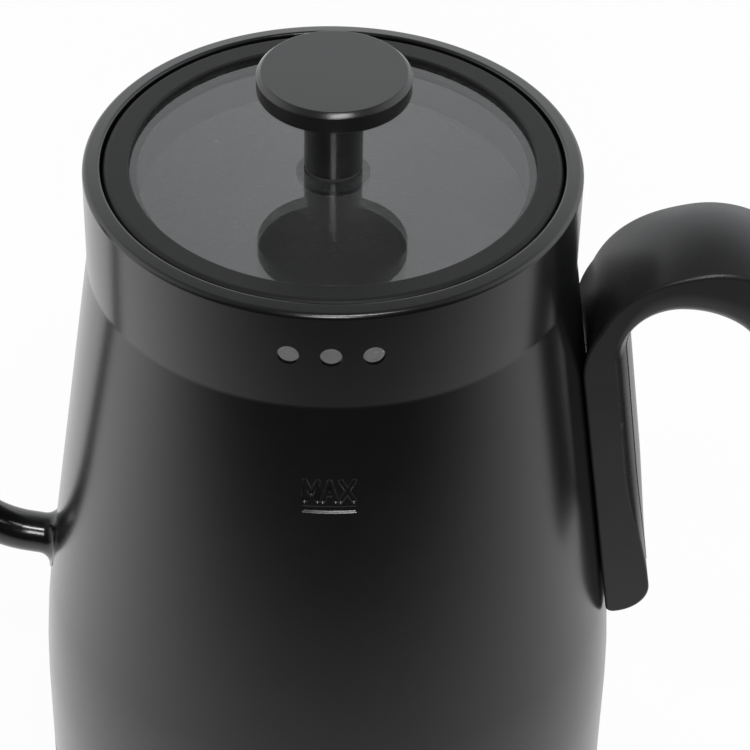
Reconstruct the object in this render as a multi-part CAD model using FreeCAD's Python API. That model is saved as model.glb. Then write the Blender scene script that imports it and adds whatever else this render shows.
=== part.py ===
import FreeCAD, Part
import math
import os

# Cordless electric gooseneck kettle, one solid per piece, in millimetres.
# +Z is up, the handle is on +X, the spout on -X, and the steam vents face -Y.
# The origin is on the kettle's axis, in the plane that it stands on.

V = FreeCAD.Vector

# Clearances that several pieces share
weld_gap = 0.05
fit_gap = 0.15
part_gap = 0.8

# Vessel: a drawn steel shell with a straight collar, a cone and a straight foot
rim_height = 165.0
rim_radius = 47.0
collar_depth = 21.5
base_radius = 59.8
shoulder_depth = 115.0
shell_bottom = 16.5
wall = 0.8
crease_round = 6.0
shoulder_round = 200.0
rim_round = 1.4
rim_edge_round = 1.1
rim_edge = 2.6

# Mouth: a pressed ring, welded under the rim's turned-in edge, with a ledge for the lid and a lip
seat_radius = 43.6
seat_round = 0.6
mouth_radius = 39.5
mouth_lip = 4.0
mouth_round = 1.2

# Steam vents in the collar
vent_count = 3
vent_radius = 2.0
vent_margin = 0.5
vent_pitch = 7.7

# Spout: a bent tube, welded to the wall with a small fillet
spout_radius = 4.25
spout_wall = 0.7
spout_height = 68.5
spout_root_rise = 11.0
spout_neck_rise = 78.0
spout_tip_fall = 15.0
spout_root_run = 18.5
spout_neck_run = 98.0
spout_tip_run = 34.0
spout_low_bend = 20.0
spout_top_bend = 20.0
spout_fillet = 2.5
spout_tip_bevel = 25.0

# Handle: an upside-down J whose short leg lies along the cone
handle_gap = 0.3
handle_width = 24.0
handle_bottom = 61.0
leg_thickness = 8.2
leg_back_round = 1.5
arch_top = 148.0
arch_outer_near = 23.4
arch_outer_far = 24.0
arch_underside = 139.3
arch_inner_near = 9.5
arch_inner_far = 15.5
grip_bottom = 59.0
grip_outer_lean = 3.0
grip_inner_lean = 4.5
grip_end_round = 5.0
handle_edge_round = 1.6

# Handle fixing: a welded strap with threaded bosses, and a strip over the screws
strap_thickness = 1.5
strap_width = 12.0
strap_length = 52.0
strap_height = 92.0
strap_corner = 4.0
boss_radius = 3.4
handle_screw_pitch = 34.0
handle_screw_radius = 2.0
handle_screw_head_radius = 3.6
handle_screw_head = 1.9
handle_screw_drive = 1.2
handle_screw_web = 1.2
strip_depth = 1.7
strip_width = 15.0
strip_margin = 10.0

# Lid: glass clamped between two rings
lid_drop = 0.3
lid_gap = 0.35
ring_inner_radius = 38.2
ring_lip = 1.2
ring_wall = 2.4
ring_edge_round = 0.5
ring_web = 1.2
glass_thickness = 3.2
glass_edge_round = 0.5
glass_hole_radius = 3.2
gasket_thickness = 0.6
plug_gap = 1.0
plug_thickness = 1.8
plug_depth = 5.5
seal_drop = 1.0
seal_height = 3.6
seal_groove = 0.5

# Knob: turned in one piece and held by a screw through the glass
knob_radius = 14.4
knob_thickness = 4.3
knob_height = 19.6
knob_chamfer = 0.9
knob_under_round = 0.6
stem_radius = 5.5
stem_foot_round = 0.3
knob_screw_radius = 2.0
knob_screw_length = 15.0
knob_screw_head_radius = 3.6
knob_screw_head = 2.2
knob_screw_slot = 1.4
knob_bore_run_out = 1.2
washer_upper = 0.4
washer_lower = 0.8
washer_lower_radius = 7.0
cup_washer = 0.8
cup_washer_radius = 6.2

# Heater under the vessel's floor
floor_height = 24.0
floor_round = 3.0
floor_skirt_gap = 0.5
spreader_thickness = 3.5
spreader_edge_round = 1.2
element_radius = 3.3
element_gap_angle = 25.0
element_bend = 8.0
element_end_run = 2.0
pin_radius = 1.2
pin_reach = 4.0

# Control with the socket for the power base
socket_inner_radius = 15.4
socket_wall = 2.0
flange_margin = 1.2
flange_web = 0.8
contact_depth = 2.0
contact_pin_radius = 2.0
inner_contact_radius = 7.3
outer_contact_radius = 11.8
contact_wall = 0.8
contact_step = 1.0
cutout_radius = 7.5
cutout_thickness = 0.5
cutout_dish = 0.5
cutout_offset = 10.5
control_screw_count = 3
control_screw_radius = 1.5
control_screw_head_radius = 2.3
control_screw_head = 2.0
control_screw_bite = 2.4

# Temperature probe through the floor
probe_radius = 2.45
probe_tip = 6.0
probe_tip_round = 2.0
probe_collar_radius = 4.3
probe_collar = 1.2
probe_tail = 5.0
probe_seal_thickness = 1.3
probe_nut_radius = 4.2
probe_nut_height = 3.0
lead_radius = 1.1
lead_bend = 3.5
lead_drop = 1.4

# Moulded cover that closes the base
cover_wall = 2.0
cover_floor = 2.2
cover_edge_round = 4.0
cover_inner_round = 2.5
foot_height = 1.5
foot_width = 6.0
foot_margin = 1.4
socket_guide_gap = 0.6
socket_guide_length = 7.3
socket_guide_wall = 2.2
base_seal_thickness = 0.5
base_seal_width = 1.8
base_screw_count = 3
base_screw_radius = 1.55
base_screw_head_radius = 3.0
base_screw_head = 2.2
base_screw_bite = 5.0
base_recess = 9.0
base_post_wall = 1.4
floor_boss_radius = 3.4
floor_boss_margin = 4.4

# Values that follow from the sizes above: vessel and lid
collar_bottom = rim_height - collar_depth
cone_slope = (base_radius - rim_radius) / (shoulder_depth - collar_depth)
cone_angle = math.degrees(math.atan(cone_slope))
seat_depth = lid_drop + ring_lip + glass_thickness + gasket_thickness + ring_web
ledge_height = rim_height - seat_depth
vent_height = ledge_height - wall - vent_margin - vent_radius
lid_top = rim_height - lid_drop
lid_radius = seat_radius - lid_gap
glass_radius = lid_radius - ring_wall - fit_gap
glass_top = lid_top - ring_lip
glass_bottom = glass_top - glass_thickness
web_top = ledge_height + ring_web
plug_radius = mouth_radius - plug_gap
plug_inside = plug_radius - plug_thickness
stem_bottom = glass_top + washer_upper
knob_top = rim_height + knob_height
knob_bottom = knob_top - knob_thickness
knob_bore_radius = knob_screw_radius + weld_gap
lower_washer_bottom = glass_bottom - washer_lower
cup_washer_bottom = lower_washer_bottom - cup_washer
knob_screw_tip = cup_washer_bottom + knob_screw_length

# Values that follow from the sizes above: underside
floor_top = floor_height + wall
spreader_top = floor_height - weld_gap
spreader_bottom = spreader_top - spreader_thickness
element_height = spreader_bottom - weld_gap - element_radius
socket_outer_radius = socket_inner_radius + socket_wall
control_screw_circle = socket_outer_radius + flange_margin + control_screw_head_radius
control_radius = control_screw_circle + control_screw_head_radius + flange_margin
probe_offset = control_radius + part_gap + probe_nut_radius
element_circle = probe_offset + probe_nut_radius + part_gap + element_radius
base_screw_circle = base_radius - floor_boss_margin - floor_boss_radius
spreader_radius = base_screw_circle - floor_boss_radius - 2 * part_gap
flange_top = spreader_bottom - weld_gap
cutout_bottom = flange_top - cutout_dish - cutout_thickness
contact_top = cutout_bottom - flange_web
flange_bottom = contact_top - contact_depth
socket_bottom = socket_guide_length + 2 * weld_gap
probe_collar_bottom = floor_top + probe_seal_thickness
probe_bottom = spreader_bottom - probe_tail
lead_height = probe_bottom - lead_bend - lead_drop
cover_top = shell_bottom - base_seal_thickness - 2 * weld_gap
cover_floor_top = foot_height + cover_floor
socket_guide_radius = socket_outer_radius + socket_guide_gap
base_post_radius = base_screw_head_radius + fit_gap + base_post_wall
foot_outer_radius = base_screw_circle - base_post_radius - foot_margin
foot_inner_radius = foot_outer_radius - foot_width


def cone_radius(height):
    """Outer radius of the vessel's cone at a height."""
    return rim_radius + (collar_bottom - height) * cone_slope


# Values that follow from the sizes above: handle
outer_away = handle_gap
inner_away = handle_gap + leg_thickness
strap_away = weld_gap + strap_thickness
screw_seat = inner_away - strip_depth - 2 * fit_gap - handle_screw_head
boss_end = screw_seat - handle_screw_web - fit_gap


def at(x, z):
    """A point in the plane of the handle and the spout."""
    return V(x, 0, z)


def polar(centre, radius, degrees):
    """A point on a circle in the plane of the handle and the spout."""
    angle = math.radians(degrees)
    return at(centre.x + radius * math.cos(angle), centre.z + radius * math.sin(angle))


def line(start, end):
    return Part.LineSegment(start, end).toShape()


def arc(centre, radius, start, end):
    """An arc in the plane of the handle and the spout, from one angle to another."""
    angles = (start, (start + end) / 2, end)
    return Part.Arc(*[polar(centre, radius, angle) for angle in angles]).toShape()


def rounded(corners, closed):
    """Edges of a polyline in the XZ plane; each corner is (x, z) or (x, z, radius)."""
    count = len(corners)
    entries, exits, arcs = [], [], []
    for i, corner in enumerate(corners):
        point = at(corner[0], corner[1])
        radius = corner[2] if len(corner) > 2 else 0.0
        if radius <= 0 or (not closed and i in (0, count - 1)):
            entries.append(point)
            exits.append(point)
            arcs.append(None)
            continue
        before = at(*corners[i - 1][:2]) - point
        after = at(*corners[(i + 1) % count][:2]) - point
        before.normalize()
        after.normalize()
        half = before.getAngle(after) / 2
        reach = radius / math.tan(half)
        inward = before + after
        inward.normalize()
        middle = point + inward * (radius / math.sin(half) - radius)
        entries.append(point + before * reach)
        exits.append(point + after * reach)
        arcs.append(Part.Arc(entries[-1], middle, exits[-1]).toShape())
    edges = []
    for i in range(count):
        if arcs[i]:
            edges.append(arcs[i])
        if i < count - 1 or closed:
            start, end = exits[i], entries[(i + 1) % count]
            if start.distanceToPoint(end) > 1e-6:
                edges.append(line(start, end))
    return edges


def revolved(corners):
    """A solid of revolution about the kettle's axis."""
    outline = Part.Face(Part.Wire(rounded(corners, True)))
    return outline.revolve(V(), V(0, 0, 1), 360)


def ring(inner, outer, bottom, top):
    return revolved([(inner, bottom), (outer, bottom), (outer, top), (inner, top)])


def rod(radius, bottom, top, x=0.0, y=0.0):
    return Part.makeCylinder(radius, top - bottom, V(x, y, bottom))


def offset_left(corners, distance):
    """The polyline moved to its left, with the corner radii that keep it parallel."""
    moved = []
    count = len(corners)
    for i, corner in enumerate(corners):
        point = at(corner[0], corner[1])
        steps = []
        if i > 0:
            steps.append(point - at(*corners[i - 1][:2]))
        if i < count - 1:
            steps.append(at(*corners[i + 1][:2]) - point)
        for step in steps:
            step.normalize()
        normals = [at(-step.z, step.x) for step in steps]
        if len(normals) == 1:
            shifted = point + normals[0] * distance
            moved.append((shifted.x, shifted.z))
            continue
        both = normals[0] + normals[1]
        shifted = point + both * (2 * distance / both.Length**2)
        turn = steps[0].x * steps[1].z - steps[0].z * steps[1].x
        moved.append((shifted.x, shifted.z, corner[2] - math.copysign(distance, turn)))
    return moved


def between(one_side, other_side):
    """The face between two chains of edges that run the same way."""
    first = line(one_side[0].Vertexes[0].Point, other_side[0].Vertexes[0].Point)
    last = line(one_side[-1].Vertexes[-1].Point, other_side[-1].Vertexes[-1].Point)
    edges = one_side + [last] + other_side + [first]
    return Part.Face(Part.Wire(Part.__sortEdges__(edges)))


def sheet(corners, thickness):
    """A revolved sheet whose shown side is the polyline, with its metal to the left."""
    shown = rounded(corners, False)
    hidden = rounded(offset_left(corners, thickness), False)
    return between(shown, hidden).revolve(V(), V(0, 0, 1), 360)


def tube(edges, radius):
    """A round bar along edges that join smoothly."""
    start = edges[0].Vertexes[0].Point
    direction = edges[0].tangentAt(edges[0].FirstParameter)
    section = Part.Wire(Part.Circle(start, direction, radius).toShape())
    return Part.Wire(edges).makePipeShell([section], True, False)


def spread(shape, count, first=0.0):
    """Copies of a shape, evenly spaced about the kettle's axis."""
    copies = []
    for i in range(count):
        copy = shape.copy()
        copy.rotate(V(), V(0, 0, 1), first + 360.0 * i / count)
        copies.append(copy)
    return copies


def joined(shapes):
    return shapes[0].multiFuse(shapes[1:]).removeSplitter()


# Vessel


def vessel_profile(gap=0.0):
    """Outside of the vessel, from its foot over the rim to the rim's turned-in edge."""
    return [
        (base_radius + gap, shell_bottom),
        (base_radius + gap, rim_height - shoulder_depth, shoulder_round),
        (rim_radius + gap, collar_bottom, crease_round),
        (rim_radius + gap, rim_height, rim_round),
        (seat_radius, rim_height, rim_edge_round),
        (seat_radius, rim_height - rim_edge),
    ]


def vessel_envelope(gap):
    """The vessel without its hollow, grown outwards by a gap."""
    top = [(rim_radius + gap, rim_height), (0, rim_height)]
    return revolved([(0, shell_bottom)] + vessel_profile(gap)[:3] + top)


def body_shell():
    shell = sheet(vessel_profile(), wall)
    start = V(0, -seat_radius, vent_height)
    vent = Part.makeCylinder(vent_radius, 2 * (rim_radius - seat_radius), start, V(0, -1, 0))
    step = math.degrees(vent_pitch / rim_radius)
    holes = [tube(spout_path()[:1], spout_radius - spout_wall)]
    for i in range(vent_count):
        hole = vent.copy()
        hole.rotate(V(), V(0, 0, 1), (i - (vent_count - 1) / 2) * step)
        holes.append(hole)
    return shell.cut(holes)


def mouth_ring():
    """Pressed ring under the rim: the wall round the lid, the lid's ledge and the mouth's lip."""
    corners = [
        (seat_radius, rim_height - rim_edge - weld_gap),
        (seat_radius, ledge_height, seat_round),
        (mouth_radius, ledge_height, mouth_round),
        (mouth_radius, ledge_height - mouth_lip),
    ]
    return sheet(corners, wall)


def vessel_floor():
    """Pressed floor whose skirt is welded inside the shell."""
    outside = base_radius - wall - weld_gap
    corners = [
        (outside, shell_bottom + floor_skirt_gap),
        (outside, floor_top, floor_round),
        (0, floor_top),
    ]
    return sheet(corners, wall).cut(probe_rod(probe_radius + fit_gap, spreader_bottom, rim_height))


# Spout


def spout_path():
    """Centre line from inside the wall to the tip: three straight runs and two bends."""
    root = at(-cone_radius(spout_height), spout_height)
    start = polar(root, -2 * spout_radius, 180 - spout_root_rise)
    low = polar(root, spout_root_run, 180 - spout_root_rise)
    high = polar(low, spout_neck_run, 180 - spout_neck_rise)
    tip = polar(high, spout_tip_run, 180 + spout_tip_fall)
    corners = [
        (start.x, start.z),
        (low.x, low.z, spout_low_bend),
        (high.x, high.z, spout_top_bend),
        (tip.x, tip.z),
    ]
    return rounded(corners, False)


def spout_tube():
    path = spout_path()
    pipe = tube(path, spout_radius).cut(tube(path, spout_radius - spout_wall))
    size = 4 * spout_radius
    slant = Part.makeBox(size, size, size, V(-size, -size / 2, -size / 2))
    slant.rotate(V(), V(0, 1, 0), -(spout_tip_fall + spout_tip_bevel))
    set_back = spout_radius * math.tan(math.radians(spout_tip_bevel))
    slant.translate(path[-1].Vertexes[-1].Point + at(set_back, 0))
    return pipe.cut([vessel_envelope(weld_gap), slant])


def spout_root():
    """Weld fillet between the spout and the wall."""
    foot = spout_radius + weld_gap
    corners = [
        (foot, -2 * spout_radius),
        (foot + spout_fillet, -2 * spout_radius),
        (foot + spout_fillet, 0),
        (foot, spout_fillet),
    ]
    cove = Part.makeTorus(foot + spout_fillet, spout_fillet, V(0, 0, spout_fillet))
    flare = revolved(corners).cut(cove)
    flare.rotate(V(), V(0, 1, 0), spout_root_rise - 90)
    flare.translate(at(-cone_radius(spout_height), spout_height))
    solids = flare.cut(vessel_envelope(weld_gap)).Solids
    return max(solids, key=lambda solid: solid.Volume)


# Handle


def on_leg(height):
    """Frame on the cone's straight side: X away from the vessel, Z up along it."""
    turn = FreeCAD.Rotation(V(0, 1, 0), -cone_angle)
    return FreeCAD.Placement(at(cone_radius(height), height), turn)


def leg_point(height, away):
    return on_leg(height).multVec(V(away, 0, 0))


def arch_centre(top, radius, away):
    """Centre of an arc that peaks at a height and touches a line parallel to the cone."""
    height = top - radius
    reach = (away + radius) / math.cos(math.radians(cone_angle))
    return at(cone_radius(height) + reach, height)


outer_near_centre = arch_centre(arch_top, arch_outer_near, outer_away)
outer_far_centre = at(outer_near_centre.x, arch_top - arch_outer_far)
inner_near_centre = arch_centre(arch_underside, arch_inner_near, inner_away)
inner_far_centre = at(inner_near_centre.x, arch_underside - arch_inner_far)


def down_the_grip(start, lean, height):
    """The point at a height on a line that leaves the arch with a lean."""
    return at(start.x + (start.z - height) * math.tan(math.radians(lean)), height)


def inner_edges(inset, leg_height, grip_height):
    """Inside of the J, moved into its material by an inset, from the leg to the grip."""
    near = arch_inner_near + inset
    far = arch_inner_far + inset
    leg_end = leg_point(leg_height, inner_away - inset)
    leg_turn = polar(inner_near_centre, near, 180 + cone_angle)
    grip_turn = polar(inner_far_centre, far, grip_inner_lean)
    grip_end = down_the_grip(grip_turn, grip_inner_lean, grip_height)
    return [
        line(leg_end, leg_turn),
        arc(inner_near_centre, near, 180 + cone_angle, 90),
        arc(inner_far_centre, far, 90, grip_inner_lean),
        line(grip_turn, grip_end),
    ]


def handle_outline():
    """Side view of the J; the leg's end is rounded, most of all on its front."""
    leg_back = leg_point(handle_bottom, outer_away)
    leg_front = leg_point(handle_bottom, inner_away)
    leg_turn = polar(inner_near_centre, arch_inner_near, 180 + cone_angle)
    back_turn = polar(outer_near_centre, arch_outer_near, 180 + cone_angle)
    outer_turn = polar(outer_far_centre, arch_outer_far, grip_outer_lean)
    inner_turn = polar(inner_far_centre, arch_inner_far, grip_inner_lean)
    grip_outer = down_the_grip(outer_turn, grip_outer_lean, grip_bottom)
    grip_inner = down_the_grip(inner_turn, grip_inner_lean, grip_bottom)
    grip_corners = [
        (outer_turn.x, outer_turn.z),
        (grip_outer.x, grip_outer.z, grip_end_round),
        (grip_inner.x, grip_inner.z, grip_end_round),
        (inner_turn.x, inner_turn.z),
    ]
    leg_corners = [
        (leg_turn.x, leg_turn.z),
        (leg_front.x, leg_front.z, leg_thickness - leg_back_round),
        (leg_back.x, leg_back.z, leg_back_round),
        (back_turn.x, back_turn.z),
    ]
    edges = [
        arc(outer_near_centre, arch_outer_near, 180 + cone_angle, 90),
        arc(outer_far_centre, arch_outer_far, 90, grip_outer_lean),
        *rounded(grip_corners, False),
        arc(inner_far_centre, arch_inner_far, grip_inner_lean, 90),
        arc(inner_near_centre, arch_inner_near, 90, 180 + cone_angle),
        *rounded(leg_corners, False),
    ]
    return Part.Face(Part.Wire(edges))


def across(outline, width):
    """An outline in the plane of the handle, thickened evenly to both sides."""
    moved = outline.copy()
    moved.translate(V(0, -width / 2, 0))
    return moved.extrude(V(0, width, 0))


def strip_band(gap):
    """The strip that lines the inside of the J, grown by a gap."""
    ends = (handle_bottom + strip_margin - gap, grip_bottom + strip_margin - gap)
    outline = between(inner_edges(-gap, *ends), inner_edges(strip_depth + gap, *ends))
    return across(outline, strip_width + 2 * gap)


def on_strap(shape):
    """Places a shape that was made in the strap's own frame."""
    placed = shape.copy()
    placed.Placement = on_leg(strap_height)
    return placed


def strap_block(start, gap):
    """The strap's block, from a distance off the vessel, grown by a gap."""
    width = strap_width + 2 * gap
    height = strap_length + 2 * gap
    return Part.makeBox(strap_away + gap - start, width, height, V(start, -width / 2, -height / 2))


def at_screws(radius, start, end):
    """Two cylinders that point away from the vessel, at the handle screws."""
    pair = []
    for side in (-1, 1):
        foot = V(start, 0, side * handle_screw_pitch / 2)
        pair.append(Part.makeCylinder(radius, end - start, foot, V(1, 0, 0)))
    return pair


def handle_shell():
    body = across(handle_outline(), handle_width)
    rims = [e for e in body.Edges if abs(e.CenterOfMass.y) > handle_width / 2 - weld_gap]
    body = body.makeFillet(handle_edge_round, rims)
    cuts = [strap_block(0, fit_gap)]
    cuts += at_screws(boss_radius + fit_gap, 0, boss_end + fit_gap)
    cuts += at_screws(handle_screw_radius + fit_gap, boss_end, screw_seat)
    cuts += at_screws(handle_screw_head_radius + fit_gap, screw_seat, inner_away)
    return body.cut([strip_band(fit_gap)] + [on_strap(cut) for cut in cuts])


def handle_inner_strip():
    return strip_band(0.0)


def handle_bracket():
    """Strap welded to the wall, with two threaded bosses."""
    strap = strap_block(weld_gap, 0.0)
    corners = [e for e in strap.Edges if abs(e.tangentAt(e.FirstParameter).x) > 0.99]
    strap = strap.makeFillet(strap_corner, corners)
    bosses = at_screws(boss_radius, strap_away - strap_thickness / 2, boss_end)
    threads = at_screws(handle_screw_radius + weld_gap, 0, boss_end)
    return on_strap(joined([strap] + bosses).cut(threads))


def handle_screws():
    head_end = screw_seat + handle_screw_head
    shanks = at_screws(handle_screw_radius, 2 * weld_gap, screw_seat)
    heads = at_screws(handle_screw_head_radius, screw_seat, head_end)
    drives = at_screws(handle_screw_drive, head_end - handle_screw_head / 2, head_end)
    screws = [joined([s, h]).cut(d) for s, h, d in zip(shanks, heads, drives)]
    return Part.makeCompound([on_strap(screw) for screw in screws])


# Lid


def lid_upper_ring():
    inside = glass_radius + fit_gap
    return revolved(
        [
            (lid_radius, web_top),
            (lid_radius, lid_top, ring_edge_round),
            (ring_inner_radius, lid_top, ring_edge_round),
            (ring_inner_radius, glass_top),
            (inside, glass_top),
            (inside, web_top),
        ]
    )


def lid_lower_ring():
    """Web that carries the glass on the ledge, and a plug that reaches into the mouth."""
    groove = plug_radius - seal_groove
    groove_top = ledge_height - seal_drop
    return revolved(
        [
            (plug_inside, ledge_height - plug_depth),
            (plug_radius, ledge_height - plug_depth, seat_round),
            (plug_radius, groove_top - seal_height),
            (groove, groove_top - seal_height),
            (groove, groove_top),
            (plug_radius, groove_top),
            (plug_radius, ledge_height),
            (lid_radius, ledge_height, seat_round + lid_gap),
            (lid_radius, web_top),
            (plug_inside, web_top),
        ]
    )


def lid_seal():
    """Silicone band in the plug's groove, with a soft lip towards the mouth."""
    inside = plug_radius - seal_groove + weld_gap
    top = ledge_height - seal_drop - weld_gap
    bottom = top - seal_height + 2 * weld_gap
    return revolved(
        [
            (inside, bottom),
            (plug_radius, bottom),
            (mouth_radius - lid_gap, (top + bottom) / 2, fit_gap),
            (plug_radius, top),
            (inside, top),
        ]
    )


def lid_glass():
    return revolved(
        [
            (glass_hole_radius, glass_bottom),
            (glass_radius, glass_bottom, glass_edge_round),
            (glass_radius, glass_top, glass_edge_round),
            (glass_hole_radius, glass_top),
        ]
    )


def glass_gasket():
    return ring(plug_inside + fit_gap, glass_radius, web_top, glass_bottom)


def lid_knob():
    knob = revolved(
        [
            (0, stem_bottom),
            (stem_radius, stem_bottom, stem_foot_round),
            (stem_radius, knob_bottom),
            (knob_radius, knob_bottom, knob_under_round),
            (knob_radius, knob_top - knob_chamfer, knob_chamfer / 2),
            (knob_radius - knob_chamfer, knob_top, knob_chamfer / 2),
            (0, knob_top),
        ]
    )
    return knob.cut(rod(knob_bore_radius, stem_bottom, knob_screw_tip + knob_bore_run_out))


def knob_washer_upper():
    return ring(glass_hole_radius, stem_radius - fit_gap, glass_top, stem_bottom)


def knob_washer_lower():
    inner = knob_screw_radius + fit_gap
    return ring(inner, washer_lower_radius, lower_washer_bottom, glass_bottom)


def knob_cup_washer():
    inner = knob_screw_radius + fit_gap
    return ring(inner, cup_washer_radius, cup_washer_bottom, lower_washer_bottom)


def knob_screw():
    head_bottom = cup_washer_bottom - knob_screw_head
    shank = rod(knob_screw_radius, cup_washer_bottom, knob_screw_tip)
    head = revolved(
        [
            (0, head_bottom),
            (knob_screw_head_radius, head_bottom, knob_screw_head / 2),
            (knob_screw_head_radius, cup_washer_bottom),
            (0, cup_washer_bottom),
        ]
    )
    corner = V(-knob_screw_head_radius, -knob_screw_slot / 2, head_bottom)
    slot = Part.makeBox(2 * knob_screw_head_radius, knob_screw_slot, knob_screw_head / 2, corner)
    return joined([shank, head]).cut(slot)


# Heater


def at_base_screws(radius, bottom, top):
    """Upright cylinders at the base screws."""
    return spread(rod(radius, bottom, top, base_screw_circle), base_screw_count, 90)


def at_control_screws(radius, bottom, top):
    """Upright cylinders at the control's screws."""
    return spread(rod(radius, bottom, top, control_screw_circle), control_screw_count)


def floor_bosses():
    """Bosses welded under the floor, threaded for the base screws."""
    bosses = at_base_screws(floor_boss_radius, cover_top, floor_height - weld_gap)
    thread_end = cover_top + base_screw_bite + fit_gap
    threads = at_base_screws(base_screw_radius + weld_gap, cover_top, thread_end)
    return Part.makeCompound([boss.cut(thread) for boss, thread in zip(bosses, threads)])


def heat_spreader():
    plate = revolved(
        [
            (0, spreader_bottom),
            (spreader_radius, spreader_bottom, spreader_edge_round),
            (spreader_radius, spreader_top),
            (0, spreader_top),
        ]
    )
    thread_end = spreader_bottom + control_screw_bite + fit_gap
    cuts = at_control_screws(control_screw_radius + weld_gap, spreader_bottom, thread_end)
    cuts.append(probe_rod(probe_radius + fit_gap, spreader_bottom, spreader_top))
    return plate.cut(cuts)


def flat_point(centre, radius, degrees):
    """A point on a circle in the heater's own level plane."""
    angle = math.radians(degrees)
    return centre + V(radius * math.cos(angle), radius * math.sin(angle), 0)


def flat_arc(centre, radius, start, end):
    angles = (start, (start + end) / 2, end)
    return Part.Arc(*[flat_point(centre, radius, angle) for angle in angles]).toShape()


element_centre = V(0, 0, element_height)


def element_turn(side):
    """Centre of the bend at one end of the heater's ring, and the ring's angle there."""
    angle = side * element_gap_angle
    return flat_point(element_centre, element_circle - element_bend, angle), angle


def element_end(side, run):
    """A point on the straight end of the heater, past its bend."""
    centre, angle = element_turn(side)
    turned = flat_point(centre, element_bend, angle - side * 90)
    return flat_point(turned, -run, angle)


def heating_element():
    """Sheathed ring whose two ends turn in towards the control."""
    first_centre, first = element_turn(1)
    last_centre, last = element_turn(-1)
    edges = [
        line(element_end(1, element_end_run), element_end(1, 0)),
        flat_arc(first_centre, element_bend, first - 90, first),
        flat_arc(element_centre, element_circle, first, 360 + last),
        flat_arc(last_centre, element_bend, last, last + 90),
        line(element_end(-1, 0), element_end(-1, element_end_run)),
    ]
    return tube(edges, element_radius)


def element_pins():
    """Cold pins that take the current from the control into the heater."""
    pins = []
    for side in (1, -1):
        start = element_end(side, element_end_run + weld_gap)
        inwards = element_end(side, element_end_run + 1) - element_end(side, element_end_run)
        pins.append(Part.makeCylinder(pin_radius, pin_reach, start, inwards))
    return Part.makeCompound(pins)


# Control


contacts = {
    "contact_pin": (0.0, contact_pin_radius, contact_step),
    "contact_inner_ring": (inner_contact_radius - contact_wall, inner_contact_radius, 2 * contact_step),
    "contact_outer_ring": (outer_contact_radius - contact_wall, outer_contact_radius, 3 * contact_step),
}


def contact(name, gap=0.0):
    """One of the three contacts, each set deeper in the socket than the one inside it."""
    inner, outer, recess = contacts[name]
    body = rod(outer + gap, socket_bottom + recess, contact_top - weld_gap + gap)
    if inner:
        body = body.cut(rod(inner - gap, socket_bottom, contact_top))
    return body


def at_cutout(shape, side):
    """Moves a shape from the kettle's axis to a cutout's place, at +Y or -Y."""
    moved = shape.copy()
    moved.translate(V(0, side * cutout_offset, 0))
    return moved


def control_housing():
    block = revolved(
        [
            (0, flange_bottom),
            (socket_inner_radius, flange_bottom),
            (socket_inner_radius, socket_bottom),
            (socket_outer_radius, socket_bottom),
            (socket_outer_radius, flange_bottom),
            (control_radius, flange_bottom),
            (control_radius, flange_top),
            (0, flange_top),
        ]
    )
    cuts = [contact(name, weld_gap) for name in contacts]
    pocket = rod(cutout_radius + fit_gap, cutout_bottom, flange_top)
    cuts += [at_cutout(pocket, side) for side in (1, -1)]
    cuts += at_control_screws(control_screw_radius + fit_gap, flange_bottom, flange_top)
    return block.cut(cuts)


def thermal_cutouts():
    """Two dished dry-boil discs that touch the hot plate in the middle."""
    dish = revolved(
        [
            (0, flange_top - cutout_thickness),
            (cutout_radius, cutout_bottom),
            (cutout_radius, cutout_bottom + cutout_thickness),
            (0, flange_top),
        ]
    )
    return Part.makeCompound([at_cutout(dish, side) for side in (1, -1)])


def control_screws():
    tip = spreader_bottom + control_screw_bite
    shanks = at_control_screws(control_screw_radius, flange_bottom, tip)
    head_bottom = flange_bottom - control_screw_head
    heads = at_control_screws(control_screw_head_radius, head_bottom, flange_bottom)
    return Part.makeCompound([joined([shank, head]) for shank, head in zip(shanks, heads)])


# Temperature probe


def probe_rod(radius, bottom, top):
    return rod(radius, bottom, top, 0, -probe_offset)


def temperature_probe():
    collar_top = probe_collar_bottom + probe_collar
    probe = revolved(
        [
            (0, probe_bottom),
            (probe_radius, probe_bottom),
            (probe_radius, probe_collar_bottom),
            (probe_collar_radius, probe_collar_bottom),
            (probe_collar_radius, collar_top),
            (probe_radius, collar_top),
            (probe_radius, collar_top + probe_tip, probe_tip_round),
            (0, collar_top + probe_tip),
        ]
    )
    probe.translate(V(0, -probe_offset, 0))
    return probe


def probe_seal():
    outside = probe_rod(probe_collar_radius, floor_top, probe_collar_bottom)
    return outside.cut(probe_rod(probe_radius + weld_gap, floor_top, probe_collar_bottom))


def probe_nut():
    top = spreader_bottom - weld_gap
    middle = V(0, -probe_offset, top - probe_nut_height)
    corners = [flat_point(middle, probe_nut_radius, 60 * i) for i in range(7)]
    nut = Part.Face(Part.makePolygon(corners)).extrude(V(0, 0, probe_nut_height))
    return nut.cut(probe_rod(probe_radius + weld_gap, middle.z, top))


def probe_lead():
    """Two-core lead from the probe to the control, bent in the plane x = 0."""
    corners = [
        (-probe_offset, probe_bottom - weld_gap),
        (-probe_offset, lead_height, lead_bend),
        (-socket_outer_radius - weld_gap - lead_radius / 2, lead_height),
    ]
    lead = tube(rounded(corners, False), lead_radius)
    lead.rotate(V(), V(0, 0, 1), 90)
    return lead


# Base


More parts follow.
